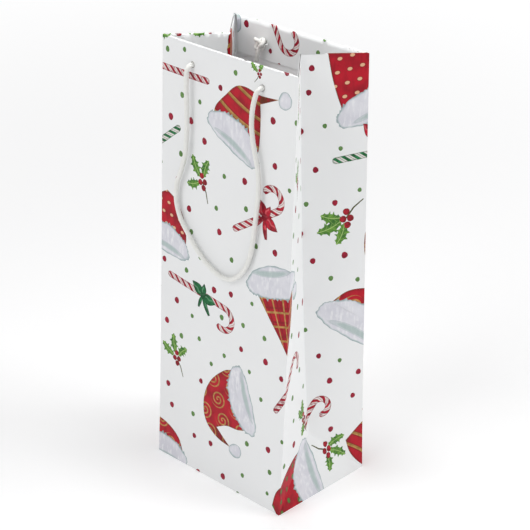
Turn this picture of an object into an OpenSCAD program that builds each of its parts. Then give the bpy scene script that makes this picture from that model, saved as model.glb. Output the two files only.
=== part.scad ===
// Wine gift bag: a folded paper carrier with pinched side gussets, a turned-in
// top hem over card reinforcements, two knotted cord handles and a loose base card.
// Origin: centre of the base, on the surface it stands on. Front faces -Y, +Z up.

/* [Bag] */
// Width across the front panel
bag_width = 127; // [110:1:140]
// Depth of the base, front to back
bag_depth = 92; // [80:1:104]
// Height of the paper walls
bag_height = 330; // [320:1:380]
// How far the front and back lean in at the mouth
mouth_lean = 11.3; // [4:0.1:16]
// Tilt of the two triangular folds beside the base, in degrees
fold_tilt = 18; // [12:1:22]

/* [Paper and card] */
// Thickness of the printed paper
paper = 0.4; // [0.3:0.05:0.6]
// Depth of the turned-in top hem
hem_depth = 28; // [22:1:36]
// Thickness of the reinforcement cards under the hem
top_card_thick = 0.6; // [0.4:0.1:1]
// Thickness of the base card
base_card_thick = 1; // [0.6:0.1:2]
// How far the front and back bottom flaps reach under the bag
flap_reach = 64; // [54:1:70]
// Width of the glue tab down one back corner
seam_tab = 15; // [10:1:20]

/* [Handles] */
// Diameter of the handle cord
cord_d = 3.5; // [3:0.5:4.5]
// Distance between the two cord holes in each panel
hole_spacing = 66; // [60:1:70]
// Distance from the top edge down to the cord holes
hole_drop = 15; // [12:1:17]
// Diameter of the punched cord holes
hole_d = 4.8; // [4.6:0.1:6]
// Radius of the knot on each cord end
knot_r = 4.6; // [4:0.1:5.5]

/* [Hidden] */

$fn = 48;
half_width = bag_width / 2;
half_depth = bag_depth / 2;
hole_z = bag_height - hole_drop;
// Walls bow inwards most quickly near the base.
lean_power = 0.8;
// Gap under the hinged front and back walls, and around the flaps they fold from
hinge_gap = 0.3;
flap_gap = 1.1;
// The gusset sheets start this far behind the outer face of the front and back
corner_gap = 1;
edge_gap = 0.3;
top_gap = 1;
top_card_depth = hem_depth - 3;
// Heights at which the bowed walls have an edge
wall_levels = concat(
    [for (share = [0.06, 0.14, 0.25, 0.4, 0.55, 0.7, 0.85]) share * bag_height],
    [bag_height - hem_depth, bag_height - top_gap - top_card_depth, bag_height - top_gap]
);
// The apex of the triangular side fold
apex_z = half_depth * cos(fold_tilt);
apex_inset = half_depth * sin(fold_tilt);
diagonal_gap = 0.8;
tip_cut = 1.4;
hem_start = 2.5;
hem_side_gap = 2;
card_side_gap = 4;
ply_gap = 0.05;
hem_off = paper + top_card_thick + 2 * ply_gap;
gusset_columns = 5;
flap_taper = 10;
side_flap_reach = 52;
flap_half_width = half_width - 1;
flap_half_depth = half_depth - flap_gap;
base_card_z = 3 * paper;
stub_out = 0.9;
knot_in = 6.2;
tail = 9;
cord_sides = 10;
paper_white = [0.95, 0.95, 0.97];
inner_white = [0.98, 0.98, 0.98];
card_grey = [0.82, 0.82, 0.8];
cord_white = [0.96, 0.95, 0.92];

// Route of the front handle from its left hole, down, across and up to the right hole
handle_route = [
    [-33, -37.2, 315], [-33.2, -39.7, 314], [-33.5, -41, 310.5], [-33.7, -41.2, 302],
    [-33.6, -41.2, 292.5], [-33.3, -41.3, 282.5], [-33.3, -41.3, 272], [-34, -41.4, 261.5],
    [-35.2, -41.5, 250.5], [-39.3, -41.5, 238], [-43.9, -41.6, 225.5], [-44.4, -41.7, 212.5],
    [-40.3, -41.8, 200.8], [-32.2, -41.9, 190.6], [-23.2, -42, 181.3], [-13, -42, 173.5],
    [-1, -42, 168.8], [10, -42, 169.8], [19.5, -42, 177], [26, -41.9, 187],
    [29.5, -41.8, 198], [31.5, -41.7, 209], [33, -41.6, 221], [34.5, -41.5, 233],
    [35.6, -41.5, 245], [35, -41.4, 257], [32.4, -41.4, 268], [29.6, -41.3, 279],
    [28.4, -41.3, 290], [29.2, -41.2, 301], [31.6, -41, 310.5], [32.8, -39.7, 314],
    [33, -37.2, 315]
];

function unit(v) = v / norm(v);
function lean(z) = mouth_lean * pow(max(z, 0) / bag_height, lean_power);
function inset(z) = sqrt(pow(half_depth, 2) - pow(half_depth - lean(z), 2));
function heights(z0, z1) = concat(
    [z0],
    [for (z = wall_levels) if (z > z0 + 0.5 && z < z1 - 0.5) z],
    [z1]
);
function reversed(list) = [for (i = [len(list) - 1 : -1 : 0]) list[i]];

// A strip of the front wall: its outer face lies off behind the bag's outer face.
module wall(width, z0, z1, off, thick) {
    zs = heights(z0, z1);
    outer = [for (z = zs) [-half_depth + lean(z) + off, z]];
    inner = [for (z = zs) [-half_depth + lean(z) + off + thick, z]];
    rotate([90, 0, 90])
        linear_extrude(width, center = true)
            polygon(concat(outer, reversed(inner)));
}

module at_hole(side) {
    translate([side * hole_spacing / 2, -half_depth + lean(hole_z), hole_z])
        rotate([90, 0, 0])
            children();
}

module punched() {
    difference() {
        children();
        for (side = [-1, 1])
            at_hole(side) cylinder(d = hole_d, h = 12, center = true);
    }
}

// Plan of the front half of the right gusset at a height z: where it leaves the
// corner of the bag, and where it ends on the diagonal fold or the middle crease.
function corner_point(z) = [half_width - edge_gap, -half_depth + lean(z) + corner_gap];
function end_point(z) = z >= apex_z
    ? [half_width - inset(z), -0.1]
    : [half_width - apex_inset * z / apex_z, -half_depth * (1 - z / apex_z) - diagonal_gap];
function inward(v) = [-v[1], v[0]] / norm(v);

// A sheet between off and off + thick inside that surface, from start along it.
// Each row of points runs out along one face of the sheet and back along the other.
module gusset_sheet(zs, off, thick, start) {
    steps = [0 : gusset_columns];
    rows = [
        for (z = zs)
            let (a = corner_point(z), b = end_point(z), n = inward(b - a), a1 = a + start * unit(b - a))
            concat(
                [for (k = steps) a1 + (b - a1) * k / gusset_columns + off * n],
                [for (k = reversed([for (k = steps) k]))
                    a1 + (b - a1) * k / gusset_columns + (off + thick) * n]
            )
    ];
    ring = 2 * gusset_columns + 2;
    last = len(rows) - 1;
    polyhedron(
        points = [for (i = [0 : last], p = rows[i]) [p[0], p[1], zs[i]]],
        faces = concat(
            [for (k = [0 : gusset_columns - 1]) [k, k + 1, ring - 2 - k, ring - 1 - k]],
            [for (i = [0 : last - 1], k = [0 : ring - 1]) each quad(i * ring, ring, k)],
            [for (k = [0 : gusset_columns - 1])
                [last * ring + ring - 1 - k, last * ring + ring - 2 - k,
                 last * ring + k + 1, last * ring + k]]
        )
    );
}

// Two triangles of the band between a row and the next; both faces of the sheet
// are cut along the same diagonal, so its thickness stays even.
function quad(row, ring, k) =
    let (a = row + k, b = row + (k + 1) % ring, c = a + ring, d = b + ring)
    k <= gusset_columns ? [[a, c, b], [b, c, d]] : [[a, d, b], [a, c, d]];

module right_half() {
    color(paper_white)
        gusset_sheet(
            concat([for (s = [0.1, 0.3, 0.55, 0.8]) s * apex_z], heights(apex_z, bag_height)),
            0, paper, 0
        );
}

module right_half_hem() {
    color(paper_white)
        gusset_sheet(
            heights(bag_height - hem_depth, bag_height), paper + ply_gap, paper, hem_start
        );
}

module on_back() {
    mirror([0, 1, 0]) children();
}

module on_left() {
    mirror([1, 0, 0]) children();
}

// The flat triangle of the gusset below its diagonal folds
module side_fold() {
    reach = half_depth - tip_cut;
    color(paper_white)
        translate([half_width, 0, paper * sin(fold_tilt)])
            rotate([0, -fold_tilt, 0])
                rotate([90, 0, -90])
                    linear_extrude(paper)
                        polygon([[-reach, 0], [reach, 0], [0, reach]]);
}

module top_card() {
    color(card_grey)
        punched()
            wall(
                bag_width - 2 * card_side_gap,
                bag_height - top_gap - top_card_depth, bag_height - top_gap,
                paper + ply_gap, top_card_thick
            );
}

module top_hem() {
    color(paper_white)
        punched()
            wall(bag_width - 2 * hem_side_gap, bag_height - hem_depth, bag_height, hem_off, paper);
}

module big_flap(z) {
    far = flap_reach - half_depth;
    color(inner_white)
        translate([0, 0, z])
            linear_extrude(paper)
                polygon([
                    [-flap_half_width, -flap_half_depth],
                    [flap_half_width, -flap_half_depth],
                    [flap_half_width - flap_taper, far],
                    [-flap_half_width + flap_taper, far]
                ]);
}

module side_flap() {
    tip = flap_half_width - side_flap_reach;
    color(inner_white)
        translate([0, 0, 2 * paper])
            linear_extrude(paper)
                polygon([
                    [flap_half_width, -flap_half_depth],
                    [flap_half_width, flap_half_depth],
                    [tip, flap_half_depth - flap_taper],
                    [tip, -flap_half_depth + flap_taper]
                ]);
}

// A knot behind the hem, with its stub through the hole and its cut tail
module knot(side) {
    color(cord_white)
        at_hole(side) {
            translate([0, 0, -knot_in]) {
                cylinder(d = cord_d, h = knot_in + stub_out);
                sphere(r = knot_r);
                rotate([90, 0, 0]) cylinder(d = cord_d, h = knot_r + tail);
            }
        }
}

function tangent(path, i) =
    unit(path[min(i + 1, len(path) - 1)] - path[max(i - 1, 0)]);
// Normals carried along the path without twist
function carried(path, i, n) = i == len(path)
    ? []
    : let (t = tangent(path, i), m = unit(n - (n * t) * t))
      concat([m], carried(path, i + 1, m));

module swept_tube(path, d, sides) {
    normals = carried(path, 0, [1, 0, 0]);
    last = len(path) - 1;
    points = [
        for (i = [0 : last], k = [0 : sides - 1])
            let (a = 360 * k / sides, n = normals[i], b = cross(tangent(path, i), n))
            path[i] + d / 2 * (cos(a) * n + sin(a) * b)
    ];
    faces = concat(
        [[for (k = [sides - 1 : -1 : 0]) k]],
        [[for (k = [0 : sides - 1]) last * sides + k]],
        [for (i = [0 : last - 1], k = [0 : sides - 1])
            [i * sides + k, i * sides + (k + 1) % sides, (i + 1) * sides + k]],
        [for (i = [0 : last - 1], k = [0 : sides - 1])
            [i * sides + (k + 1) % sides, (i + 1) * sides + (k + 1) % sides, (i + 1) * sides + k]]
    );
    polyhedron(points = points, faces = [for (f = faces) reversed(f)]);
}

module handle() {
    color(cord_white) swept_tube(handle_route, cord_d, cord_sides);
}

module front_panel() {
    color(paper_white) punched() wall(bag_width, hinge_gap, bag_height, 0, paper);
}

module back_panel() {
    on_back() front_panel();
}

module right_gusset_front() {
    right_half();
}

module right_gusset_back() {
    on_back() right_half();
}

module left_gusset_front() {
    on_left() right_half();
}

module left_gusset_back() {
    on_left() on_back() right_half();
}

module right_bottom_fold() {
    side_fold();
}

module left_bottom_fold() {
    on_left() side_fold();
}

module seam_tab() {
    color(inner_white)
        on_back()
            translate([-half_width + hem_side_gap + seam_tab / 2, 0, 0])
                wall(seam_tab, 4, bag_height - hem_depth - 1, paper, paper);
}

module front_hem() {
    top_hem();
}

module back_hem() {
    on_back() top_hem();
}

module right_hem_front() {
    right_half_hem();
}

module right_hem_back() {
    on_back() right_half_hem();
}

module left_hem_front() {
    on_left() right_half_hem();
}

module left_hem_back() {
    on_left() on_back() right_half_hem();
}

module front_card() {
    top_card();
}

module back_card() {
    on_back() top_card();
}

module front_flap() {
    big_flap(0);
}

module back_flap() {
    on_back() big_flap(paper);
}

module right_flap() {
    side_flap();
}

module left_flap() {
    on_left() side_flap();
}

module base_card() {
    color(card_grey)
        translate([0, 0, base_card_z + base_card_thick / 2])
            cube(
                [2 * (half_width - card_side_gap), 2 * flap_half_depth - 1, base_card_thick],
                center = true
            );
}

module front_handle() {
    handle();
}

module back_handle() {
    rotate([0, 0, 180]) handle();
}

module front_left_knot() {
    knot(-1);
}

module front_right_knot() {
    knot(1);
}

module back_left_knot() {
    on_back() knot(-1);
}

module back_right_knot() {
    on_back() knot(1);
}

front_panel();
back_panel();
right_gusset_front();
right_gusset_back();
left_gusset_front();
left_gusset_back();
right_bottom_fold();
left_bottom_fold();
seam_tab();
front_hem();
back_hem();
right_hem_front();
right_hem_back();
left_hem_front();
left_hem_back();
front_card();
back_card();
front_flap();
back_flap();
right_flap();
left_flap();
base_card();
front_handle();
back_handle();
front_left_knot();
front_right_knot();
back_left_knot();
back_right_knot();
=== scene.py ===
"""Wine gift bag: the visual model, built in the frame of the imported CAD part.

The bag is one printed sheet. Its panels are cut here from one flat layout, where
s runs round the bag (0 is the middle of the front) and v runs up it, in millimetres.
Each panel is a real sheet of paper with two faces; the print is drawn as outlines
in the flat layout, and the sheet is then folded into place.
"""
import math

import bpy
import numpy as np
from mathutils import Matrix, Vector
from mathutils.geometry import delaunay_2d_cdt


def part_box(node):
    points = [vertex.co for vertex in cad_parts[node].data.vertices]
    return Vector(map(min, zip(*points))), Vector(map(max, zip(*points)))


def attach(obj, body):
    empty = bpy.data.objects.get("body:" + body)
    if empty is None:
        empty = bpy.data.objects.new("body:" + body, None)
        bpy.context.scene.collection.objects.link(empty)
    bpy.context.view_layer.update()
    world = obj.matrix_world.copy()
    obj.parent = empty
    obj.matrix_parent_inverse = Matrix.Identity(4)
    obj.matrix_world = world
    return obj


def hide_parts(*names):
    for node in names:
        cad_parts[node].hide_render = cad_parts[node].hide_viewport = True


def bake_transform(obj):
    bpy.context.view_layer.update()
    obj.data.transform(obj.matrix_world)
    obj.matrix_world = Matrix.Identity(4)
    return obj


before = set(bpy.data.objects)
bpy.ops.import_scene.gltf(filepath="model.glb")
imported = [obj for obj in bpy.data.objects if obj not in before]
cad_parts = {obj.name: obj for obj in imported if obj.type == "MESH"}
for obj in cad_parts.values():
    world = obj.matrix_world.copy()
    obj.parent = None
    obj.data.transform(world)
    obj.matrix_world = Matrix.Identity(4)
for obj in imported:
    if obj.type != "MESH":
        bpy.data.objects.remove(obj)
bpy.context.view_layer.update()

MM = 0.001
TAU = 2 * math.pi
MAP_SCALE = 100

# The frame's sizes. Names in capitals are in millimetres, corners in metres.

panel_low, panel_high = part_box("front_panel")
HALF_WIDTH = panel_high.x / MM
HALF_DEPTH = -panel_low.y / MM
HEIGHT = panel_high.z / MM
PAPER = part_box("front_flap")[1].z / MM
LEAN = (panel_high.y - panel_low.y) / MM - PAPER
HEM_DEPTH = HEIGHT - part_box("front_hem")[0].z / MM
HEM_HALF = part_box("front_hem")[1].x / MM
card_low, card_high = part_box("front_card")
CARD_HALF = card_high.x / MM
CARD_LOW, CARD_HIGH = card_low.z / MM, card_high.z / MM
base_low, base_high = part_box("base_card")
flap_low, flap_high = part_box("front_flap")
side_low, side_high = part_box("right_flap")
tab_low, tab_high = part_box("seam_tab")

# Sizes that part.scad has and the frame doesn't.

LEAN_POWER = 0.8
FOLD_TILT = math.radians(18)
APEX = HALF_DEPTH * math.cos(FOLD_TILT)
APEX_INSET = HALF_DEPTH * math.sin(FOLD_TILT)
CARD_THICK = 0.6
PLY_GAP = 0.05
WALL_PLY = 2 * PAPER + CARD_THICK + 2 * PLY_GAP
GUSSET_PLY = 2 * PAPER + PLY_GAP
HOLE_X, HOLE_Z, HOLE_R = 33, 315, 2.4
HALF_TURN = 2 * HALF_WIDTH + 2 * HALF_DEPTH
CREASE_S = HALF_WIDTH + HALF_DEPTH
CELL = 4


def add_object(name, data):
    made = bpy.data.objects.new(name, data)
    bpy.context.collection.objects.link(made)
    return made


def columns(*values):
    """An array of points, from one array for each coordinate."""
    return np.column_stack(values)


def heading(degrees):
    """The cosine and the sine of an angle."""
    return np.array([math.cos(math.radians(degrees)), math.sin(math.radians(degrees))])


# Camera, set up first


def add_camera():
    azimuth, elevation, roll = (math.radians(a) for a in (43.5, 25.64, 0.7))
    turn = (Matrix.Rotation(azimuth, 4, "Z") @ Matrix.Rotation(math.pi / 2 - elevation, 4, "X")
            @ Matrix.Rotation(roll, 4, "Z"))
    target, distance = (0.003, 0, 0.1644), 1.174
    camera = add_object("camera", bpy.data.cameras.new("camera"))
    camera.data.lens = 111
    camera.data.sensor_width = 36
    camera.matrix_world = (Matrix.Translation(target) @ turn
                           @ Matrix.Translation((0, 0, distance)))
    bpy.context.scene.camera = camera


add_camera()


# Materials


def tint(red, green, blue):
    """A colour given as 0 to 255 on a screen, as the linear RGBA that shaders use."""
    linear = [(c / 255 / 12.92) if c <= 10 else ((c / 255 + 0.055) / 1.055) ** 2.4
              for c in (red, green, blue)]
    return (*linear, 1)


class Value:
    """A socket of a shader, with plain arithmetic that adds the shader's math nodes."""

    def __init__(self, shader, socket):
        self.shader = shader
        self.socket = socket

    def __add__(self, other):
        return self.shader.math("ADD", self, other)

    def __sub__(self, other):
        return self.shader.math("SUBTRACT", self, other)

    def __rsub__(self, other):
        return self.shader.math("SUBTRACT", other, self)

    def __mul__(self, other):
        return self.shader.math("MULTIPLY", self, other)

    def __truediv__(self, other):
        return self.shader.math("DIVIDE", self, other)


class Shader:
    """Short names for the nodes of one material."""

    def __init__(self, name, roughness=0.5, specular=0.3, sheen=0.0):
        self.material = bpy.data.materials.new(name)
        self.material.use_nodes = True
        self.tree = self.material.node_tree
        self.surface = self.tree.nodes["Principled BSDF"]
        self.surface.inputs["Roughness"].default_value = roughness
        self.surface.inputs["Specular IOR Level"].default_value = specular
        self.surface.inputs["Sheen Weight"].default_value = sheen

    def node(self, kind, values=(), **settings):
        made = self.tree.nodes.new(kind)
        for key, value in settings.items():
            setattr(made, key, value)
        for key, value in dict(values).items():
            if isinstance(value, Value):
                value = value.socket
            if isinstance(value, bpy.types.NodeSocket):
                self.tree.links.new(value, made.inputs[key])
            else:
                made.inputs[key].default_value = value
        return made

    def value(self, kind, values=(), output=0, **settings):
        return Value(self, self.node(kind, values, **settings).outputs[output])

    def math(self, operation, *operands):
        return self.value("ShaderNodeMath", enumerate(operands), operation=operation)

    def step(self, value, low, high):
        """0 below low and 1 above high, smooth between; the other way round if high < low."""
        ends = {"From Min": min(low, high), "From Max": max(low, high),
                "To Min": float(high < low), "To Max": float(high > low)}
        return self.value("ShaderNodeMapRange", {"Value": value, **ends},
                          interpolation_type="SMOOTHSTEP")

    def band(self, value, half, soft=0.15):
        """1 where value is within half of 0."""
        return self.step(self.math("ABSOLUTE", value), half + soft, half - soft)

    def wave(self, value, pitch, shift=0.0):
        """Distance from the nearest of the marks that lie a pitch apart."""
        return (self.math("FRACT", value / pitch + shift) - 0.5) * pitch

    def mix(self, share, first, second):
        return self.value("ShaderNodeMix", {0: share, 6: first, 7: second}, 2, data_type="RGBA")

    def lay(self, base, share, colour, strength):
        """The colour laid over base where share is 1, as strongly as asked."""
        return self.mix(share * strength, base, colour)

    def noise(self, scale, detail=3.0, stretch=None):
        vector = self.node("ShaderNodeTexCoord").outputs["Object"]
        if stretch:
            vector = self.node("ShaderNodeMapping", {0: vector, "Scale": stretch}).outputs[0]
        values = {"Vector": vector, "Scale": scale, "Detail": detail}
        return self.value("ShaderNodeTexNoise", values, "Fac")

    def clouds(self, first, second, scale, detail, low, high):
        """The first colour, with the second in clouds of noise over it."""
        return self.mix(self.step(self.noise(scale, detail), low, high), first, second)

    def map_mm(self, layer):
        """The two coordinates of a UV map that holds millimetres / MAP_SCALE."""
        source = self.node("ShaderNodeUVMap", uv_map=layer).outputs[0]
        split = self.node("ShaderNodeSeparateXYZ", {0: source})
        return [Value(self, split.outputs[i]) * float(MAP_SCALE) for i in (0, 1)]

    def near_rim(self, start, full):
        """0 from start millimetres inside a patch's outline, 1 at full and nearer to it."""
        return self.step(self.map_mm("rim")[0], start, full)

    def finish(self, colour, height=None, depth=0.1, strength=0.3):
        self.tree.links.new(colour.socket, self.surface.inputs["Base Color"])
        if height:
            bump = self.node("ShaderNodeBump", {"Height": height, "Strength": strength,
                                                "Distance": depth * MM})
            self.tree.links.new(bump.outputs[0], self.surface.inputs["Normal"])
        return self.material


PRINT_GLOSS = 0.45
PRINT_SPECULAR = 0.22


def printed(name, paint):
    """A printed, gloss-coated area: paint makes its colour from the shader."""
    shader = Shader(name, PRINT_GLOSS, PRINT_SPECULAR)
    fibre = shader.noise(1800, 4)
    ripple = shader.noise(60, 2)
    return shader.finish(paint(shader), fibre * 0.25 + ripple, depth=0.25, strength=0.22)


PAPER_WHITE = tint(238, 239, 239)
PAPER_SHADE = tint(233, 234, 235)
RED = tint(184, 14, 38)
RED_DARK = tint(138, 8, 28)
OLIVE = tint(92, 66, 26)
GOLD = tint(198, 148, 86)
GOLD_DARK = tint(134, 104, 44)
CREAM = tint(224, 178, 140)
GREEN = tint(102, 152, 56)
GREEN_DARK = tint(52, 104, 42)


def paint_white(shader):
    return shader.mix(shader.noise(14, 3), PAPER_WHITE, PAPER_SHADE)


def brushed_red(shader):
    """Brush-painted red; along is up the cap from its brim, across is round it."""
    across, along = shader.map_mm("art")
    cloud = shader.noise(90, 4)
    stroke = shader.noise(500, 2, stretch=(1, 1, 0.25))
    share = shader.step(cloud + stroke * 0.4, 0.55, 1.0)
    base = shader.mix(share, RED, RED_DARK)
    base = shader.lay(base, shader.near_rim(2.2, 0.4), RED_DARK, 0.6)
    base = shader.lay(base, shader.near_rim(0.8, 0.2), OLIVE, 0.7)
    return base, along, across


def gilded(shader, base, mask):
    """Worn gold over base where mask is 1."""
    return shader.mix(mask, base, shader.clouds(GOLD_DARK, GOLD, 420, 3, 0.2, 0.7))


def paint_striped(shader):
    """Gold rings that sag in the middle, each with a dark edge."""
    base, along, across = brushed_red(shader)
    sag = across * across * 0.006
    slope = across * 0.12
    ring = shader.wave(along - sag - slope, 10.5, 0.15)
    base = shader.mix(shader.band(ring, 1.9, 0.3), base, RED_DARK)
    base = gilded(shader, base, shader.band(ring, 1.1, 0.25))
    return shader.lay(base, shader.band(ring + 0.7, 0.8, 0.3), GOLD_DARK, 0.45)


def paint_plaid(shader):
    """Gold and dark lines across the cap, and others that fan in to its tip."""
    base, along, across = brushed_red(shader)
    row, column, half = 10, 9.5, 0.7
    fan = across / (1.25 - along / 60)
    for line in (shader.wave(along, row, 0.62), shader.wave(fan, column, 0.4)):
        base = shader.mix(shader.band(line, half, 0.3), base, RED_DARK)
    gold = [shader.band(line, half, 0.25)
            for line in (shader.wave(along, row, 0.3), shader.wave(fan, column))]
    return gilded(shader, base, shader.math("MAXIMUM", *gold))


def cell_polar(shader, along, across, pitch, flatten=1.0):
    """Distance and angle from the middle of the nearest cell of a staggered lattice."""
    row = shader.math("FLOOR", along / pitch)
    x = shader.wave(across, pitch, shader.math("MODULO", row, 2) * 0.5)
    y = shader.wave(along, pitch) * flatten
    return shader.math("SQRT", x * x + y * y), shader.math("ARCTAN2", y, x)


def paint_swirl(shader):
    """A gold spiral in each cell of the lattice."""
    base, along, across = brushed_red(shader)
    radius, angle = cell_polar(shader, along, across, 16.5)
    line = shader.band(shader.wave(radius / 3.4 + angle / TAU, 1), 0.17, 0.06)
    inside = shader.step(radius, 7.4, 6.8)
    return gilded(shader, base, line * inside)


def spotted(spot, ring):
    """A ringed spot in each cell of the lattice, wider than it is tall."""
    def paint(shader):
        base, along, across = brushed_red(shader)
        radius, _ = cell_polar(shader, along, across, 8.5, 1.4)
        base = shader.mix(shader.step(radius, 2.4, 1.9), base, ring)
        return shader.mix(shader.step(radius, 1.8, 1.4), base, spot)
    return paint


def darker(paint):
    """The same print where the cap's tip folds over into its own shade."""
    return lambda shader: shader.mix(0.35, paint(shader), tint(96, 8, 24))


def paint_fur(shader):
    """Brushed fur, with the shaded opening of the cap along its lower side."""
    across, up = shader.map_mm("art")
    hair = shader.noise(420, 4, stretch=(1, 1, 0.35))
    base = shader.clouds(tint(210, 210, 218), tint(222, 222, 228), 75, 4, 0.35, 0.7)
    base = shader.mix(shader.step(hair, 0.48, 0.72), base, tint(232, 232, 236))
    # The opening is a flat ellipse, bent with the brim; far is 1 on its edge, made ragged.
    wide = (across - 3.0) / 17.0
    deep = (up + 4.6 + wide * wide * 1.6) / 2.0
    far = wide * wide + deep * deep + shader.noise(260, 4) * 0.9
    streak = shader.mix(hair, tint(158, 178, 176), tint(188, 201, 199))
    base = shader.lay(base, shader.step(far, 1.8, 0.9), streak, 0.9)
    ring = shader.band(far - 1.7, 0.12, 0.3)
    base = shader.lay(base, ring, tint(146, 166, 165), 0.6)
    patchy = shader.step(shader.noise(120, 4), 0.3, 0.65)
    base = shader.lay(base, shader.near_rim(1.9, 0.2) * patchy, tint(158, 178, 178), 0.95)
    return shader.lay(base, shader.near_rim(0.8, 0.1), tint(138, 158, 160), 0.75)


def twisted(colour, dark):
    """A stick with a wide and a thin stripe wound round it."""
    def paint(shader):
        along, across = shader.map_mm("art")
        slant = along + across * 1.1
        base = shader.mix(shader.noise(300, 2), tint(228, 214, 212), tint(226, 226, 222))
        wide = shader.band(shader.wave(slant, 6.6), 1.55, 0.25)
        thin = shader.band(shader.wave(slant, 6.6, 0.47), 0.3, 0.2)
        ink = shader.clouds(dark, colour, 500, 2, 0.35, 0.7)
        base = shader.mix(shader.math("MAXIMUM", wide, thin * 0.7), base, ink)
        return shader.lay(base, shader.near_rim(0.7, 0.1), dark, 0.6)
    return paint


def shaded(light, dark, scale=220, edge=1.2):
    """A painted patch, darker in clouds and along its outline."""
    def paint(shader):
        base = shader.clouds(light, dark, scale, 3, 0.3, 0.75)
        return shader.lay(base, shader.near_rim(edge, 0.0), dark, 0.6)
    return paint


def satin(light, dark, shine):
    """Ribbon, with a light streak along the middle of each loop and dark creases."""
    def paint(shader):
        along, across = shader.map_mm("art")
        base = shader.clouds(light, dark, 260, 3, 0.3, 0.75)
        bent = across + shader.math("SINE", along) * 0.5
        base = shader.lay(base, shader.band(bent - 0.9, 0.5, 0.7), shine, 0.6)
        crease = shader.math("MAXIMUM", shader.near_rim(0.9, 0.0), shader.step(along, 4.0, 1.5))
        return shader.lay(base, crease, dark, 0.75)
    return paint


def paint_leaf(shader):
    along, across = shader.map_mm("art")
    base = shader.clouds(GREEN, GREEN_DARK, 260, 3, 0.3, 0.7)
    vein = shader.wave(along + shader.math("ABSOLUTE", across), 3.4)
    base = shader.lay(base, shader.band(vein, 0.25, 0.2), tint(150, 190, 96), 0.5)
    return shader.mix(shader.band(across, 0.22, 0.15), base, tint(170, 200, 120))


CAP_PRINTS = {
    "striped": paint_striped,
    "plaid": paint_plaid,
    "swirl": paint_swirl,
    "gold_spots": spotted(CREAM, RED_DARK),
    "green_spots": spotted(tint(84, 122, 50), tint(120, 40, 40)),
}
PRINTS = {
    "paper": paint_white,
    **CAP_PRINTS,
    **{"fold_" + name: darker(paint) for name, paint in CAP_PRINTS.items()},
    "fur": paint_fur,
    "cane_red": twisted(tint(190, 24, 48), tint(132, 16, 38)),
    "cane_green": twisted(tint(40, 132, 78), tint(24, 88, 46)),
    "bow_red": satin(tint(200, 24, 50), tint(112, 8, 28), tint(236, 120, 126)),
    "bow_green": satin(tint(24, 118, 64), tint(8, 64, 34), tint(116, 176, 134)),
    "leaf": paint_leaf,
    "stem": shaded(tint(110, 96, 44), tint(60, 70, 30)),
    "berry": shaded(tint(190, 30, 48), tint(110, 12, 26), 500, 0.8),
    "dot_red": shaded(tint(168, 20, 50), tint(128, 14, 40), 400, 0.6),
    "dot_green": shaded(tint(110, 150, 82), tint(84, 122, 62), 400, 0.6),
}
PRINT_NAMES = list(PRINTS)
print_materials = [printed("print_" + name, paint) for name, paint in PRINTS.items()]


def make_reverse():
    shader = Shader("paper_reverse", 0.75)
    base = shader.mix(shader.noise(40, 4), tint(247, 247, 247), tint(243, 243, 244))
    return shader.finish(base, shader.noise(1500, 5), depth=0.12, strength=0.3)


def make_card():
    shader = Shader("greyboard", 0.9)
    pulp = shader.mix(shader.noise(120, 5), tint(214, 212, 205), tint(196, 193, 185))
    fleck = shader.step(shader.noise(900, 2), 0.66, 0.74)
    base = shader.lay(pulp, fleck, tint(140, 134, 124), 0.6)
    return shader.finish(base, shader.noise(900, 5), depth=0.2, strength=0.5)


def make_cord():
    shader = Shader("cord", 0.8, sheen=0.25)
    base = shader.mix(shader.noise(300, 3), tint(240, 240, 237), tint(229, 229, 224))
    return shader.finish(base, shader.noise(2600, 4), depth=0.2, strength=0.5)


reverse_material = make_reverse()
card_material = make_card()
cord_material = make_cord()


# Handle cords. The route is the CAD cord's own, in millimetres.

CORD_D = 3.5
HANDLE_ROUTE = [
    (-33, -37.2, 315), (-33.2, -39.7, 314), (-33.5, -41, 310.5), (-33.7, -41.2, 302),
    (-33.6, -41.2, 292.5), (-33.3, -41.3, 282.5), (-33.3, -41.3, 272), (-34, -41.4, 261.5),
    (-35.2, -41.5, 250.5), (-39.3, -41.5, 238), (-43.9, -41.6, 225.5), (-44.4, -41.7, 212.5),
    (-40.3, -41.8, 200.8), (-32.2, -41.9, 190.6), (-23.2, -42, 181.3), (-13, -42, 173.5),
    (-1, -42, 168.8), (10, -42, 169.8), (19.5, -42, 177), (26, -41.9, 187),
    (29.5, -41.8, 198), (31.5, -41.7, 209), (33, -41.6, 221), (34.5, -41.5, 233),
    (35.6, -41.5, 245), (35, -41.4, 257), (32.4, -41.4, 268), (29.6, -41.3, 279),
    (28.4, -41.3, 290), (29.2, -41.2, 301), (31.6, -41, 310.5), (32.8, -39.7, 314),
    (33, -37.2, 315),
]
KNOT_IN = 6.2
KNOT_CORD_D = 2.9
TAIL_CORD_D = 0.92 * CORD_D
# From the middle of a knot; x is away from the middle of the bag.
TAIL_ROUTE = np.array([(0, 0.4, -2), (0.6, 1, -6), (1.5, 0.9, -10), (2.25, 0.3, -13.4)])
RING_STEP = 0.55
CORD_SIDES = 28


def travelled(path):
    """The distance along the path to each of its points."""
    return np.concatenate([[0], np.cumsum(np.linalg.norm(np.diff(path, axis=0), axis=1))])


def smooth_path(points, step):
    """A Catmull-Rom curve through the points, with rings a step apart."""
    knots = np.array([points[0], *points, points[-1]], float)
    t = np.linspace(0, 1, 24, endpoint=False)[:, None]
    dense = []
    for a, b, c, d in zip(knots, knots[1:], knots[2:], knots[3:]):
        dense.append(0.5 * (2 * b + (c - a) * t + (2 * a - 5 * b + 4 * c - d) * t ** 2
                            + (3 * b - a - 3 * c + d) * t ** 3))
    dense = np.vstack([*dense, knots[-1:]])
    travel = travelled(dense)
    marks = np.linspace(0, travel[-1], int(travel[-1] / step) + 1)
    return np.column_stack([np.interp(marks, travel, column) for column in dense.T])


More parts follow.
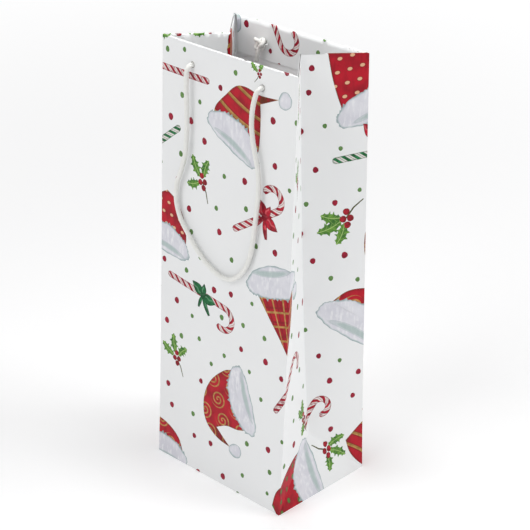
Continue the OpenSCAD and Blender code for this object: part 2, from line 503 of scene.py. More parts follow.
def carried_frames(path, closed):
    """Tangents, and normals carried along the path without twist."""
    if closed:
        tangents = np.roll(path, -1, 0) - np.roll(path, 1, 0)
    else:
        tangents = np.gradient(path, axis=0)
    tangents /= np.linalg.norm(tangents, axis=1)[:, None]
    normal = np.cross(tangents[0], (0.31, 0.17, 0.94))
    normals = []
    for tangent in tangents:
        normal = normal - normal.dot(tangent) * tangent
        normal = normal / np.linalg.norm(normal)
        normals.append(normal)
    return tangents, np.array(normals)


def new_piece(name, points, faces, materials):
    mesh = bpy.data.meshes.new(name)
    mesh.from_pydata([tuple(p * MM) for p in points], [], faces)
    for material in materials:
        mesh.materials.append(material)
    mesh.polygons.foreach_set("use_smooth", [True] * len(mesh.polygons))
    return add_object(name, mesh)


def braided_tube(name, path, diameter, closed=False):
    """A cord of strands that cross over each other, swept along the path."""
    tangents, normals = carried_frames(path, closed)
    sides = np.cross(tangents, normals)
    travel = np.arange(len(path)) * RING_STEP
    angle = np.arange(CORD_SIDES) * TAU / CORD_SIDES
    grid_angle, grid_travel = np.meshgrid(angle, travel)
    strands, pitch = 4, 10
    wind = TAU * grid_travel / pitch
    left, right = np.sin(strands * (grid_angle + wind)), np.sin(strands * (grid_angle - wind))
    radius = diameter / 2 * (0.93 + 0.07 * np.maximum(left, right))
    ends = np.ones(len(path))
    if not closed:
        ends[0] = ends[-1] = 0.8
    radius = radius * ends[:, None]
    rings = (path[:, None, :]
             + (radius * np.cos(grid_angle))[..., None] * normals[:, None, :]
             + (radius * np.sin(grid_angle))[..., None] * sides[:, None, :])
    ring = np.arange(len(path) * CORD_SIDES).reshape(len(path), CORD_SIDES)
    ahead = np.roll(ring, -1, 0)
    quads = np.stack([ring, np.roll(ring, -1, 1), np.roll(ahead, -1, 1), ahead], 2)
    if closed:
        faces = quads.reshape(-1, 4).tolist()
    else:
        faces = [*quads[:-1].reshape(-1, 4).tolist(), ring[0, ::-1].tolist(), ring[-1].tolist()]
    piece = new_piece(name, rings.reshape(-1, 3), faces, [cord_material])
    return piece


def knot_path(centre):
    """An overhand knot, lying flat against the hem."""
    t = np.linspace(0, TAU, 90, endpoint=False)
    size = 1.45
    x = np.sin(t) + 2 * np.sin(2 * t)
    z = np.cos(t) - 2 * np.cos(2 * t)
    y = -1.15 * np.sin(3 * t)
    return centre + size * columns(x, y, z)


def turned(points, back):
    """The points, or the same points turned half a turn about the bag's axis."""
    return points * (-1, -1, 1) if back else points


def add_knot(side, end, centre, body):
    """The knot at one end of a cord and its cut tail."""
    back = side == "back"
    knot = braided_tube(f"{side}_{end}_knot_tie", turned(knot_path(centre), back), KNOT_CORD_D, True)
    outward = (math.copysign(1, centre[0]), 1, 1)
    tail_path = smooth_path(centre + TAIL_ROUTE * outward, RING_STEP)
    tail = braided_tube(f"{side}_{end}_tail", turned(tail_path, back), TAIL_CORD_D)
    for piece in (knot, tail):
        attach(piece, body)
        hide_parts(f"{side}_{end}_knot")
    return [knot, tail]


def add_handle(side, body):
    """A cord from knot to knot, through its two holes, with both knots."""
    back = side == "back"
    hole_y = float(wall_y(np.array([HOLE_X]), np.array([HOLE_Z]))[0])
    knot_y = hole_y + KNOT_IN
    knots = []
    for end, x in zip(("right", "left") if back else ("left", "right"), (-HOLE_X, HOLE_X)):
        knots += add_knot(side, end, np.array([x, knot_y, HOLE_Z]), body)
    through = (knot_y, hole_y + 1.5, hole_y - 0.5)
    route = [*[(-HOLE_X, y, HOLE_Z) for y in through], *HANDLE_ROUTE,
             *[(HOLE_X, y, HOLE_Z) for y in reversed(through)]]
    path = turned(smooth_path(route, RING_STEP), back)
    cord = braided_tube(f"{side}_handle_cord", path, CORD_D)
    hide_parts(f"{side}_handle")
    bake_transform(cord)
    tuple(path[0] * MM)
    [tuple(p * MM) for p in path]


# Shape of the folded bag

MOUTH_BOW, MIDDLE_BOW = 1.0, 0.25
GUSSET_PUFF = 0.8
CARD_STEP = 0.3


def lean(z):
    return LEAN * np.clip(z / HEIGHT, 0, None) ** LEAN_POWER


def inset(z):
    """How far the gusset's crease is pinched in where the walls lean together."""
    return np.sqrt(np.maximum(HALF_DEPTH ** 2 - (HALF_DEPTH - lean(z)) ** 2, 0))


def fade(value, low, high):
    """0 at low and 1 at high, smooth between."""
    t = np.clip((value - low) / (high - low), 0, 1)
    return t * t * (3 - 2 * t)


def wall_bow(x, z):
    """How far the wall stands out: a soft bow, widest at the mouth, and faint ripples."""
    middle = np.clip(1 - (x / HALF_WIDTH) ** 2, 0, 1)
    up = np.clip(z / HEIGHT, 0, 1)
    bow = MOUTH_BOW * up ** 3 + MIDDLE_BOW * np.sin(math.pi * up)
    ripple = 0.10 * np.sin(x / 13 + z / 37 + 1.2) + 0.07 * np.sin(x / 7.5 - z / 29)
    return middle * (bow + ripple * fade(z, 0, 40) * fade(z, HEIGHT, HEIGHT - 40))


def card_ridge(x, z):
    """The faint step that the card makes in the printed face over it."""
    over = fade(z, CARD_LOW - 1.2, CARD_LOW + 0.8) * fade(np.abs(x), CARD_HALF + 1, CARD_HALF - 1)
    return CARD_STEP * over * fade(z, HEIGHT, HEIGHT - 3)


def wall_y(x, z):
    return -HALF_DEPTH + lean(z) - wall_bow(x, z)


def wall(x, z, depth):
    """A point of the front wall, depth behind its printed face."""
    return columns(x * (1 - 1.7 * depth / HALF_WIDTH), wall_y(x, z) + depth, z)


def gusset(u, z, depth):
    """A point of the right gusset's front half: u runs from the corner to the crease."""
    rise = np.clip(z / APEX, 1e-6, 1)
    near = columns(np.full_like(z, HALF_WIDTH), -HALF_DEPTH + lean(z))
    far_inset = np.where(z >= APEX, inset(np.maximum(z, APEX)), APEX_INSET * rise)
    far = columns(HALF_WIDTH - far_inset, -HALF_DEPTH * (1 - rise))
    along = far - near
    long = np.maximum(np.linalg.norm(along, axis=1), 1e-6)
    sine, cosine = np.abs(along[:, 0]) / long, np.maximum(along[:, 1] / long, 0.3)
    near_in = near + columns(-depth * (1 + sine) / cosine, depth)
    far_in = far + columns(-depth / cosine, 0 * depth)
    share = np.clip(u / (HALF_DEPTH * rise), 0, 1)
    flat = near_in + (far_in - near_in) * share[:, None]
    puff = GUSSET_PUFF * np.sin(math.pi * share) * fade(z, 8, 90) * fade(z, HEIGHT + 20, 200)
    flat += puff[:, None] * columns(cosine, sine)
    return columns(flat, z)


def bottom_fold(y, z, depth):
    """A point of the triangle at the foot of the right gusset."""
    x = HALF_WIDTH - z * math.tan(FOLD_TILT) - depth / math.cos(FOLD_TILT)
    return columns(x, y, z)


def folded_over(v, ply, shape, across, depth):
    """A point of the sheet that runs up, over the top edge and down inside."""
    radius = ply / 2
    past = v - (HEIGHT - radius)
    angle = np.clip(past / radius, 0, math.pi)
    run = radius - depth
    z = HEIGHT - radius + run * np.sin(angle) - np.maximum(past - radius * math.pi, 0)
    return shape(across, z, radius - run * np.cos(angle))


# Print layout, in millimetres on the flat sheet


class Patch:
    """One printed outline, its ink, and the coordinates that its pattern follows."""

    def __init__(self, ink, outline, art):
        self.ink = ink
        self.outline = np.array(outline, float)
        self.art = art

    def placed(self, s, v, angle, size=1.0):
        """The patch turned, enlarged and moved, and its pattern with it."""
        cosine, sine = heading(angle)
        turn = np.array([[cosine, -sine], [sine, cosine]]) * size
        origin = np.array([s, v], float)
        back = np.linalg.inv(turn)
        return Patch(self.ink, self.outline @ turn.T + origin,
                     lambda points: self.art((points - origin) @ back.T))

    def shifted(self, by):
        return Patch(self.ink, self.outline + by, lambda points: self.art(points - by))


def as_drawn(points):
    return points


def ribbon(centre, half):
    """An outline of the given half widths along a centreline, and its coordinates."""
    centre = np.array(centre, float)
    tangent = np.gradient(centre, axis=0)
    tangent /= np.linalg.norm(tangent, axis=1)[:, None]
    normal = columns(-tangent[:, 1], tangent[:, 0])
    half = np.broadcast_to(half, len(centre))[:, None]
    travel = travelled(centre)

    def art(points):
        gap = points[:, None, :] - centre[None, :, :]
        nearest = np.argmin((gap ** 2).sum(2), axis=1)
        offset = points - centre[nearest]
        along = travel[nearest] + (offset * tangent[nearest]).sum(1)
        return columns(along, (offset * normal[nearest]).sum(1))

    return np.vstack([centre + normal * half, (centre - normal * half)[::-1]]), art


def blob(rx, ry, wobble, seed, count=26, cx=0.0, cy=0.0):
    """A rounded shape with an uneven edge."""
    t = np.arange(count) * TAU / count
    edge = 1 + wobble * (np.sin(3 * t + seed) + 0.6 * np.sin(7 * t + 2 * seed))
    return columns(cx + rx * edge * np.cos(t), cy + ry * edge * np.sin(t))


# The cap's crown as smooth runs that meet at corners; the tip is where two runs meet.
CROWNS = {
    "folded": (
        [(-23, 2), (-24, 9), (-20, 22), (-15.5, 33), (-8, 38.5), (3, 41.5), (10, 45), (19, 50.5)],
        [(19, 50.5), (12, 42), (7.5, 36.5)],
        [(7.5, 36.5), (12, 29), (18.5, 16), (22, 7), (22, 2)],
    ),
    "cone": (
        [(-19, 2), (-19, 9), (-15, 23), (-8, 39), (0, 53)],
        [(0, 53), (5, 40), (12, 24), (18, 9), (19, 2)],
    ),
    "droop": (
        [(23, 3), (22.5, 11), (17, 24), (9.5, 33.5), (0, 40), (-12, 43.5), (-22, 41.5),
         (-31, 34), (-37, 23)],
        [(-37, 23), (-30, 28), (-22, 33)],
        [(-22, 33), (-20.5, 22), (-23, 11), (-23, 3)],
    ),
    "round": (
        [(-22, 2), (-21.5, 15), (-15, 29), (-3, 39)],
        [(-3, 39), (8, 34.5), (17, 24), (21.5, 12), (22, 2)],
    ),
    "tall": (
        [(-21, 2), (-21.5, 14), (-21, 28), (-19, 44.3)],
        [(-19, 44.3), (-4, 40), (10, 35.6), (24, 31.2)],
        [(24, 31.2), (23, 22), (22, 10), (22, 2)],
    ),
    "flat": (
        [(-21, 2), (-21.5, 14), (-21, 28), (-19, 41)],
        [(-19, 41), (-4, 44), (10, 43), (22, 38)],
        [(22, 38), (22.5, 23), (22, 10), (22, 2)],
    ),
    "low": (
        [(22, 4), (17, 15), (6, 22.5), (-8, 25.5), (-24, 23), (-38, 12)],
        [(-38, 12), (-28, 14), (-22, 10), (-21, 4)],
    ),
}


CROWN_STEP = 1.6


def fur_brim(seed, droop):
    """The brim's outline: an uneven ellipse, bent by droop, with tufts along its upper side."""
    count = 108
    t = np.arange(count) * TAU / count
    uneven = 1 + 0.018 * np.sin(9 * t + seed) + 0.012 * np.sin(21 * t)
    brim = columns(27 * uneven * np.cos(t), 11.5 * uneven * np.sin(t))
    draw = np.random.default_rng(int(seed))
    tuft = np.where(np.sin(t) > 0.1, 2.4 * draw.random(count) ** 1.7 * (np.arange(count) % 2), 0)
    brim[:, 1] += tuft - droop * brim[:, 0] ** 2 + 1
    return brim


def hat(ink, crown, pompom=True, flip=False, seed=1.0, droop=0.006):
    """A soft cap with a fur brim; flip turns its tip to the other side."""
    side = np.array([-1.0, 1.0]) if flip else np.array([1.0, 1.0])
    runs = CROWNS[crown]
    smooth = [smooth_path(run, CROWN_STEP) for run in runs]
    outline = np.vstack([run[:-1] for run in smooth] + [[runs[-1][-1]]]) * side
    parts = [Patch(ink, outline, as_drawn)]
    if crown in ("folded", "droop"):
        tail = np.vstack([smooth[0][-9:], smooth[1][1:]]) * side
        parts.append(Patch("fold_" + ink, tail, as_drawn))
    parts.append(Patch("fur", fur_brim(seed, droop), as_drawn))
    if pompom:
        tip, behind = np.array(runs[0][-1], float), np.array(runs[0][-2], float)
        ahead = (tip - behind) / np.linalg.norm(tip - behind)
        middle = (tip + 5.4 * ahead) * side
        parts.append(Patch("fur", blob(5.6, 6.4, 0.03, seed, 24, *middle), as_drawn))
    return parts


def cane(ink, shaft, hook=8.0, sweep=205.0, turn=1, half=2.5):
    """A stick that runs from its tail along x and curls over at the end."""
    along = np.arange(0, shaft, 1.3)
    bend = np.radians(np.arange(0, sweep, 9))
    curl = columns(shaft + hook * np.sin(bend), turn * hook * (1 - np.cos(bend)))
    centre = np.vstack([columns(along, 0 * along), curl])
    count = np.arange(len(centre))
    taper = (1 - np.minimum(count, count[::-1]) / 2.0).clip(0)
    width = half * np.sqrt(np.clip(1 - taper ** 2, 0.25, 1))
    outline, art = ribbon(centre, width)
    return [Patch(ink, outline, art)]


def petal(length, width, tip=0.0):
    """A loop of ribbon or a plain leaf, pointed where it starts."""
    t = np.linspace(0, 1, 16)
    half = width * np.sin(math.pi * t ** 0.8) + tip * t
    return ribbon(columns(t * length, 0.12 * length * t * t), half)


def bow(ink):
    parts = []
    for angle, length, width, tip in (
        (212, 12, 1.3, 0.9), (-100, 17, 1.6, 1.2), (104, 15, 4.6, 0), (44, 11, 3.0, 0),
        (-48, 15, 4.6, 0),
    ):
        outline, art = petal(length, width, tip)
        parts += [Patch(ink, outline, art).placed(0, 0, angle)]
    parts.append(Patch(ink, blob(3.0, 2.6, 0.05, 2.0, 12), as_drawn))
    return parts


def leaf(length=17.0, width=4.4, spikes=4):
    """A holly leaf with points along both edges."""
    t = np.linspace(0, 1, 2 * spikes + 1)
    t = np.sort(np.concatenate([t, (t[1:] + t[:-1]) / 2]))
    swell = np.where(np.arange(len(t)) % 4 == 2, 1.15, 0.66)
    half = width * np.sin(math.pi * np.clip(t, 0.02, 0.98)) ** 0.7 * swell
    return ribbon(columns(t * length, 1.2 * np.sin(math.pi * t)), half)


def holly(leaves=(112, 62, 190), stem=285):
    """Leaves and berries round the head of a stem."""
    parts = []
    outline, art = ribbon([(0, 0), (8, 0.8), (16, -0.6)], np.array([0.5, 0.5, 0.35]))
    parts.append(Patch("stem", outline, art).placed(0, 0, stem))
    for i, angle in enumerate(leaves):
        outline, art = leaf(17 - 2 * i)
        parts.append(Patch("leaf", outline, art).placed(*3.2 * heading(angle), angle))
    for x, y in ((0, 4.2), (2.6, -0.2), (-2.0, -0.6), (0.8, -4.6)):
        parts.append(Patch("berry", blob(2.2, 2.3, 0.04, x, 12, x, y), as_drawn))
    return parts


def spot(ink, rx, ry, wobble=0.05, seed=1.0, count=14):
    return [Patch(ink, blob(rx, ry, wobble, seed, count), as_drawn)]


def put(parts, s, v, angle=0.0, size=1.0):
    return [part.placed(s, v, angle, size) for part in parts]


# The sides that the camera sees: what is printed, its s and v, its turn and its size.
SHOWN = [
    (hat("striped", "folded"), 8, 274, -27),
    (cane("cane_red", 62), -16, 307, 180),
    (cane("cane_green", 58), -45, 267, 218),
    (holly(), -22, 233, 8),
    (hat("gold_spots", "round", False, seed=2.0), -60, 178, -8, 0.98),
    (cane("cane_red", 46, 8, 225), 9, 207, 32, 1.03),
    (bow("bow_red"), 38, 225, 10, 0.95),
    (cane("cane_red", 58, 8.5, 220, -1), -56, 152, -8, 1.02),
    (bow("bow_green"), -20, 146, 30, 0.9),
    (hat("plaid", "cone", False, seed=3.0, droop=-0.004), 49, 181, 196, 1.03),
    (holly((100, 150, 45), 300), -46, 86, 0, 0.95),
    (hat("swirl", "droop", seed=4.0), 21.5, 77, 109),
    (hat("swirl", "low", False, seed=5.0), -59, 4, 2),
    (cane("cane_red", 44, 7.5, 200, -1), 54, 81, 58, 0.95),
    (hat("green_spots", "round", False, seed=6.0), 99, 14, 97, 1.12),
    (hat("gold_spots", "tall", False, seed=7.0), 160, 292, 17, 1.04),
    (cane("cane_green", 58), 131, 253, 9),
    (bow("bow_red"), 162, 268, 20),
    (holly((205, 250, 170), 50), 141, 210, 0, 1.15),
    (hat("swirl", "low", False, True, 8.0), 149, 126, -36, 1.22),
    (cane("cane_red", 20, 6.5, 250, -1), 103, 50, 55),
    (holly((95, 130, 250), 290), 101, 60, 0, 0.8),
    (holly((-30, 25, 265), 150), 123, 26),
    (hat("striped", "flat", False, seed=9.0), 184, 36, 130),
    (holly((80, 130), 270), 80, 250, 0, 0.8),
    (holly((60, 250), 90), 80, 305, 0, 0.7),
    (holly((140, 70), 240), 30, 324, 0, 0.5),
    (spot("fur", 5.6, 6.4, 0.03, 3.0, 24), 78, 172),
    (cane("cane_red", 20, 8.5, 220), 246, 326, 117),
    (spot("dot_red", 2.5, 2.8), 271, 336),
    (spot("dot_red", 1.7, 1.9), 247, 351),
    (spot("dot_green", 2.0, 2.2), 200, 342),
    (holly((20, 160), 270), 253, 325, 0, 0.6),
    (spot("fur", 7, 9, count=24), 283, 336),
    (spot("striped", 10, 15, 0.08, count=24), 320, 342, 25),
    (holly((170, 10), 270), -73, 327, 0, 0.9),
    (holly((170, 20), 270), -95, 327, 0, 0.7),
]
# The rest of the sheet repeats the same kinds on a staggered grid.
FILLERS = [
    (hat("striped", "folded", seed=12.0), -20), (cane("cane_red", 48), 35), (holly(), 10),
    (hat("plaid", "cone", seed=13.0), 160), (cane("cane_green", 44, 8, 205, -1), -50),
    (holly((100, 150, 45)), 0), (hat("swirl", "droop", seed=14.0), 110), (bow("bow_green"), 0),
    (hat("gold_spots", "folded", True, True, 15.0), -40), (cane("cane_red", 52), -120),
]
SHEET_LOW, SHEET_HIGH = -66, 362
FIRST_S = -104
ROW_STEP, COLUMN_STEP = 23, 31
ROW_SHIFT, ROW_TURN = 17, 23
FILLER_SIZE, FILLER_GAP = 0.92, 7
DOT_TRIES, DOT_APART, DOT_CLEAR = 9000, 17, 5.5
MOTIF_POINTS = 30


def around(patches):
    """Every outline point of the patches, repeated one turn either way round the bag."""
    points = np.vstack([p.outline for p in patches])
    return np.vstack([points + (k * 2 * HALF_TURN, 0) for k in (-1, 0, 1)])


def placed_by_hand(s, v):
    """Where SHOWN alone says what is printed: both sides in view, and the lining in view."""
    sides = -HALF_WIDTH - 14 < s < CREASE_S + HALF_DEPTH + 14 and v > -4
    lining = v > 322 and (s < -HALF_WIDTH or 190 < s < 345)
    return sides or lining


def lay_out_print():
    """All the patches on the sheet, for one turn of s."""
    patches = []
    for parts, *place in SHOWN:
        patches += put(parts, *place)
    taken = around(patches)
    solids = [p for p in patches if len(p.outline) > MOTIF_POINTS]
    count = 0
    for row, v in enumerate(range(SHEET_LOW + 10, SHEET_HIGH, ROW_STEP)):
        for s in range(FIRST_S + (row % 3) * ROW_SHIFT, int(2 * HALF_TURN) + FIRST_S, COLUMN_STEP):
            parts, angle = FILLERS[count % len(FILLERS)]
            placed = put(parts, s, v, angle + ROW_TURN * (row % 3), FILLER_SIZE)
            outline = np.vstack([p.outline for p in placed])
            middle = (outline.min(0) + outline.max(0)) / 2
            if placed_by_hand(*middle):
                continue
            gap = np.linalg.norm(outline[::4, None] - taken[None, ::3], axis=2).min()
            covered = any(inside_outline(middle[None], p.outline)[0] for p in solids)
            if gap < FILLER_GAP or covered:
                continue
            patches += placed
            taken = np.vstack([taken, around(placed)])
            count += 1
    return patches + scatter_dots(patches, taken)


def scatter_dots(patches, taken):
    """Small red and green dots in the gaps, no two too close."""
    motifs = [p.outline for p in patches if len(p.outline) > MOTIF_POINTS]
    inside = [(outline, outline.min(0), outline.max(0)) for outline in motifs]
    draw = np.random.default_rng(11)
    dots, spots = [], np.empty((0, 2))
    for _ in range(DOT_TRIES):
        s, v = draw.uniform(-CREASE_S, 2 * HALF_TURN - CREASE_S), draw.uniform(SHEET_LOW, SHEET_HIGH)
        round_the_bag = (spots[:, 0] - s + HALF_TURN) % (2 * HALF_TURN) - HALF_TURN
        if len(spots) and np.hypot(round_the_bag, spots[:, 1] - v).min() < DOT_APART:
            continue
        if np.hypot(taken[:, 0] - s, taken[:, 1] - v).min() < DOT_CLEAR:
            continue
        if any((low < (s, v)).all() and (high > (s, v)).all()
               and inside_outline(np.array([[s, v]]), outline)[0] for outline, low, high in inside):
            continue
        red = draw.random() < 0.55
        size = draw.uniform(1.9, 2.4) if red else draw.uniform(1.5, 2.0)
        shape = blob(size, size * 1.12, 0.05, draw.uniform(0, 6), 14, s, v)
        dots.append(Patch("dot_red" if red else "dot_green", shape, as_drawn))
        spots = np.vstack([spots, (s, v)])
    return dots


def inside_outline(points, outline):
    """Which points lie inside a closed outline."""
    x, y = points[:, 0, None], points[:, 1, None]
    ax, ay = outline[None, :, 0], outline[None, :, 1]
    bx, by = np.roll(ax, -1, 1), np.roll(ay, -1, 1)
    crosses = (ay > y) != (by > y)
    slope = np.where(crosses, (bx - ax) * (y - ay) / np.where(by == ay, 1, by - ay) + ax, 0)
    return ((crosses & (x < slope)).sum(1) % 2) == 1


def edge_distance(points, outline):
    """How far each point is from an outline."""
    a, b = outline, np.roll(outline, -1, 0)
    run = b - a
    gap = points[:, None, :] - a[None]
    t = np.clip((gap * run).sum(2) / np.maximum((run ** 2).sum(1), 1e-9), 0, 1)
    return np.linalg.norm(gap - t[..., None] * run[None], axis=2).min(1)


def divided(outline, step):
    """The same closed outline with no edge longer than a step."""
    points = []
    for a, b in zip(outline, np.roll(outline, -1, 0)):
        count = max(1, math.ceil(np.linalg.norm(b - a) / step))
        points += [a + (b - a) * k / count for k in range(count)]
    return np.array(points)


def triangulated(domain, holes, patches, cell):
    """The flat sheet as triangles that follow its edge, its holes and every patch."""
    loops = [divided(np.array(domain, float), cell), *holes, *[p.outline for p in patches]]
    points, edges = [], []
    for loop in loops:
        first = len(points)
        points += [tuple(p) for p in loop]
        edges += [(first + k, first + (k + 1) % len(loop)) for k in range(len(loop))]
    low, high = loops[0].min(0), loops[0].max(0)
    xs = np.arange(low[0] + cell / 2, high[0], cell)
    ys = np.arange(low[1] + cell / 2, high[1], cell * 0.87)
    grid = np.array([(x + (cell / 2 if j % 2 else 0), y) for j, y in enumerate(ys) for x in xs])
    grid = grid[inside_outline(grid, loops[0])]
    grid = grid[edge_distance(grid, loops[0]) > cell * 0.3]
    points += [tuple(p) for p in grid]
    result = delaunay_2d_cdt([Vector(p) for p in points], edges, [], 0, 1e-4)
    flat = np.array([tuple(p) for p in result[0]])
    faces = np.array(result[2])
    middle = flat[faces].mean(1)
    keep = inside_outline(middle, loops[0])
    for hole in holes:
        keep &= ~inside_outline(middle, hole)
    faces, middle = faces[keep], middle[keep]
    used = np.unique(faces)
    lookup = np.full(len(flat), -1)
    lookup[used] = np.arange(len(used))
    return flat[used], lookup[faces], middle


def overlaps(patch, low, high):
    return (patch.outline.max(0) > low).all() and (patch.outline.min(0) < high).all()


def patches_on(domain, s_shift):
    """The patches that reach into a panel, moved to the panel's own s."""
    low, high = domain.min(0), domain.max(0)
    found = []
    for turn in (-1, 0, 1):
        shift = np.array([turn * 2 * HALF_TURN - s_shift, 0.0])
        found += [p.shifted(shift) for p in all_patches if overlaps(p, low - shift, high - shift)]
    return found


def inked(flat, faces, middle, patches):
    """The ink of each triangle, and the values of its corners in both UV maps."""
    ink = np.zeros(len(faces), int)
    art = np.zeros((len(faces), 3, 2))
    rim = np.full((len(faces), 3), 9.0)
    for patch in patches:
        hit = np.nonzero(inside_outline(middle, patch.outline))[0]
        if len(hit):
            corners = flat[faces[hit]].reshape(-1, 2)
            ink[hit] = PRINT_NAMES.index(patch.ink)
            art[hit] = patch.art(corners).reshape(-1, 3, 2)
            rim[hit] = edge_distance(corners, patch.outline).reshape(-1, 3)
    return ink, {"art": art, "rim": np.stack([rim, 0 * rim], 2)}


def sheet(name, body, domain, shape, thick=PAPER, s_shift=0.0, holes=(),
          slot="printed_paper", face=None, cell=CELL, kind="sheet", node=None):
    """One folded panel as a closed sheet: shape(s, v, depth) places its points.

    s_shift is where this panel's own s = 0 lies on the printed sheet. A face is the
    material of a sheet without print. The node that it replaces has its name,
    unless another one is given."""
    domain = np.array(domain, float)
    patches = [] if face else patches_on(domain, s_shift)
    flat, faces, middle = triangulated(domain, list(holes), patches, cell)
    ink, maps = inked(flat, faces, middle, patches)
    s, v = flat[:, 0], flat[:, 1]
    zero = np.zeros(len(flat))
    points = np.vstack([shape(s, v, zero), shape(s, v, zero + thick)])
    count = len(flat)
    triangles = faces.tolist()
    edges = dict.fromkeys(e for a, b, c in triangles for e in ((a, b), (b, c), (c, a)))
    rims = [(a, b) for a, b in edges if (b, a) not in edges]
    all_faces = [tuple(f) for f in triangles]
    all_faces += [(c + count, b + count, a + count) for a, b, c in triangles]
    all_faces += [(b, a, a + count, b + count) for a, b in rims]
    materials = [face, face] if face else [*print_materials, reverse_material]
    piece = new_piece(f"{name}_{kind}", points, all_faces, materials)
    mesh = piece.data
    slots = np.concatenate([ink, np.full(len(faces) + len(rims), len(materials) - 1)])
    mesh.polygons.foreach_set("material_index", slots.astype(np.int32))
    for layer, values in maps.items():
        data = np.zeros((len(mesh.loops), 2))
        data[: 3 * len(faces)] = values.reshape(-1, 2) / MAP_SCALE
        mesh.uv_layers.new(name=layer).data.foreach_set("uv", data.ravel().astype(np.float32))
    sharp = {tuple(sorted(e)) for a, b in rims for e in ((a, b), (a + count, b + count))}
    flags = [tuple(sorted(e.vertices)) in sharp for e in mesh.edges]
    mesh.edges.foreach_set("use_edge_sharp", flags)
    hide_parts(node or name)
    if body:
        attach(piece, body)
    return piece


all_patches = lay_out_print()


def circle(x, y, radius, count=28):
    t = np.arange(count) * TAU / count
    return columns(x + radius * np.cos(t), y + radius * np.sin(t))


def as_built(shape):
    return shape


def backwards(shape):
    """The same shape on the other side of the bag, turned half a turn."""
    return lambda s, v, depth: turned(shape(s, v, depth), True)


def far_half(shape):
    """The gusset's back half: its front half mirrored about the crease."""
    return lambda s, v, depth: shape(2 * CREASE_S - s, v, depth) * (1, -1, 1)


def rectangle(x0, x1, y0, y1):
    return [(x0, y0), (x1, y0), (x1, y1), (x0, y1)]


def panel_shape(s, v, depth):
    points = wall(s, v, depth)
    points[:, 1] -= card_ridge(s, v)
    return points


def behind_wall(s, v, depth):
    return wall(s, v, depth + PAPER + PLY_GAP)


def hem_shape(s, v, depth):
    return folded_over(v, WALL_PLY, wall, s, depth)


def gusset_shape(s, v, depth):
    return gusset(s - HALF_WIDTH, v, depth)


def gusset_hem_shape(s, v, depth):
    return folded_over(v, GUSSET_PLY, gusset, s - HALF_WIDTH, depth)


def fold_shape(s, v, depth):
    return bottom_fold(s - CREASE_S, v, depth)


def flap_shape(level):
    def shape(s, v, depth):
        return columns(s, flap_low.y / MM - v, level + depth)
    return shape


FLOOR_GAP = 0.15
FLAP_TAPER = 10
CARD_CORNER = 3
GREY_CARD = {"slot": "grey_card", "face": card_material, "kind": "board"}
PLAIN_PAPER = {"slot": "plain_paper", "face": reverse_material}


def hem_levels(ply):
    """On the flat sheet: where it starts to turn in, where it has turned, and its end."""
    top = HEIGHT - ply / 2
    inside = top + ply * math.pi / 2
    return top, inside, inside + HEM_DEPTH - ply / 2


def add_walls():
    top, low, hem_end = hem_levels(WALL_PLY)
    holes = [circle(x, HOLE_Z, HOLE_R) for x in (-HOLE_X, HOLE_X)]
    hem_holes = [circle(x, low + top - HOLE_Z, HOLE_R) for x in (-HOLE_X, HOLE_X)]
    wall_domain = rectangle(-HALF_WIDTH, HALF_WIDTH, FLOOR_GAP, top)
    hem_domain = [(-HALF_WIDTH, top), (HALF_WIDTH, top), (HALF_WIDTH - 0.2, top + 0.9),
                  (HEM_HALF, low), (HEM_HALF, hem_end), (-HEM_HALF, hem_end), (-HEM_HALF, low),
                  (-HALF_WIDTH + 0.2, top + 0.9)]
    card_domain = rectangle(-CARD_HALF, CARD_HALF, CARD_LOW, CARD_HIGH)
    for side, shift, turn in (("front", 0, as_built), ("back", HALF_TURN, backwards)):
        sheet(f"{side}_panel", side, wall_domain, turn(panel_shape), s_shift=shift, holes=holes)
        sheet(f"{side}_hem", side, hem_domain, turn(hem_shape), s_shift=shift, holes=hem_holes)
        sheet(f"{side}_card", side, card_domain, turn(behind_wall), CARD_THICK, holes=holes,
              **GREY_CARD)


def add_gussets():
    top, over, hem_end = hem_levels(GUSSET_PLY)
    start, crease = HALF_WIDTH, CREASE_S
    gusset_domain = [(start, FLOOR_GAP), (crease, APEX), (crease, top), (start, top)]
    hem_domain = [(start, top), (crease, top), (crease, hem_end), (start + 2.6, hem_end),
                  (start + 2.6, over + 0.8), (start, over - 0.3)]
    fold_start, fold_end, under = start + 0.6, 2 * crease - start - 0.6, FLOOR_GAP + 2.5
    fold_domain = [(fold_start, FLOOR_GAP), (fold_end, FLOOR_GAP), (fold_end, under),
                   (crease, APEX), (fold_start, under)]
    hinge = (HALF_DEPTH - LEAN - 0.4) * MM
    for side, shift, turn in (("right", 0, as_built), ("left", HALF_TURN, backwards)):
        for near in (True, False):
            body, sign = ("front", -1) if near == (side == "right") else ("back", 1)
            for kind, domain, shape in (("gusset", gusset_domain, gusset_shape),
                                        ("hem", hem_domain, gusset_hem_shape)):
                if not near:
                    domain = [(2 * crease - s, v) for s, v in reversed(domain)]
                    shape = far_half(shape)
                piece = sheet(f"{side}_{kind}_{body}", None, domain, turn(shape), s_shift=shift)
                sign * hinge
                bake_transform(piece)
        sheet(f"{side}_fold", "base", fold_domain, turn(fold_shape), s_shift=shift,
              node=f"{side}_bottom_fold")


def add_bottom():
    reach = (flap_high.y - flap_low.y) / MM
    wide = flap_high.x / MM
    big = [(-wide + FLAP_TAPER, -reach), (wide - FLAP_TAPER, -reach), (wide, 0), (-wide, 0)]
    sheet("front_flap", "base", big, flap_shape(0))
    sheet("back_flap", "base", big, backwards(flap_shape(PAPER)), s_shift=HALF_TURN)
    inner, outer, side_half = side_low.x / MM, side_high.x / MM, side_high.y / MM
    small = [(inner, -side_half + FLAP_TAPER), (outer, -side_half), (outer, side_half),
             (inner, side_half - FLAP_TAPER)]

    def side_flap_shape(s, v, depth):
        return columns(s, v, 2 * PAPER + depth)

    for side, turn in (("right", as_built), ("left", backwards)):
        sheet(f"{side}_flap", "base", small, turn(side_flap_shape), cell=8, **PLAIN_PAPER)


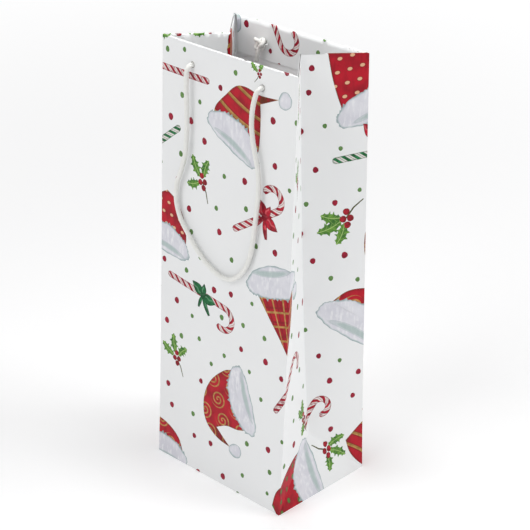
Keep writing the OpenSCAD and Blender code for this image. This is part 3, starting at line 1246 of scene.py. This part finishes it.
def add_base_card():
    """The loose card on the flaps, with round corners that lift a little."""
    x, y, z = base_high.x / MM, base_high.y / MM, base_low.z / MM
    r = CARD_CORNER
    corners = [(x - r, y - r, 0), (-x + r, y - r, 90), (-x + r, -y + r, 180), (x - r, -y + r, 270)]
    rounded = [(cx, cy) + r * heading(first + turn)
               for cx, cy, first in corners for turn in range(0, 105, 15)]

    def card_shape(s, v, depth):
        lift = 0.25 * (s / x) ** 2 * (v / y) ** 2
        return columns(s, v, z + lift + depth)

    sheet("base_card", "base", rounded, card_shape, (base_high.z - base_low.z) / MM, **GREY_CARD)


def add_seam_tab():
    x0, x1, z0, z1 = (c / MM for c in (tab_low.x, tab_high.x, tab_low.z, tab_high.z))
    domain = [(-x1, z0), (-x0, z0 + 3), (-x0, z1 - 3), (-x1, z1)]
    sheet("seam_tab", "back", domain, backwards(behind_wall), cell=7, **PLAIN_PAPER)


add_handle("front", "front")
add_handle("back", "back")
add_walls()
add_gussets()
add_bottom()
add_base_card()
add_seam_tab()


# Floor and light

WORLD_LIGHT = 0.46
FLOOR_GLOW, FAR_GLOW = 0.17, 0.28
GLOW_STARTS, GLOW_ENDS = 0.3, 1.8


def add_floor():
    """A pale table that glows a little, more so far away, so that it stays white."""
    size = 4
    corners = [(-size, -size, 0), (size, -size, 0), (size, size, 0), (-size, size, 0)]
    mesh = bpy.data.meshes.new("floor")
    mesh.from_pydata(corners, [], [(0, 1, 2, 3)])
    shader = Shader("floor", 0.9)
    place = shader.node("ShaderNodeTexCoord").outputs["Object"]
    reach = shader.node("ShaderNodeVectorMath", {0: place}, operation="LENGTH").outputs["Value"]
    far = shader.step(reach, GLOW_STARTS, GLOW_ENDS)
    glow = far * FAR_GLOW + FLOOR_GLOW
    shader.tree.links.new(glow.socket, shader.surface.inputs["Emission Strength"])
    shader.surface.inputs["Emission Color"].default_value = (1, 1, 1, 1)
    paint = shader.mix(shader.noise(2, 2), tint(252, 252, 252), tint(250, 250, 251))
    mesh.materials.append(shader.finish(paint))
    add_object("floor", mesh)


def add_light(name, place, target, size, power):
    data = bpy.data.lights.new(name, "AREA")
    data.shape = "DISK"
    data.size = size
    data.energy = power
    light = add_object(name, data)
    light.location = place
    light.rotation_euler = (Vector(target) - Vector(place)).to_track_quat("-Z", "Y").to_euler()


def add_world():
    world = bpy.data.worlds.new("studio")
    world.use_nodes = True
    background = world.node_tree.nodes["Background"]
    background.inputs["Color"].default_value = (1, 1, 1, 1)
    background.inputs["Strength"].default_value = WORLD_LIGHT
    bpy.context.scene.world = world
    bpy.context.scene.view_settings.view_transform = "Standard"


add_floor()
add_light("key", (-0.35, -1.9, 2.15), (0, 0, 0.2), size=1.8, power=22)
add_light("side", (1.6, 1.1, 1.3), (0, 0, 0.2), size=1.4, power=18)
add_light("above_mouth", (0, 0, 0.56), (0, 0, 0), size=0.06, power=0.42)
add_world()
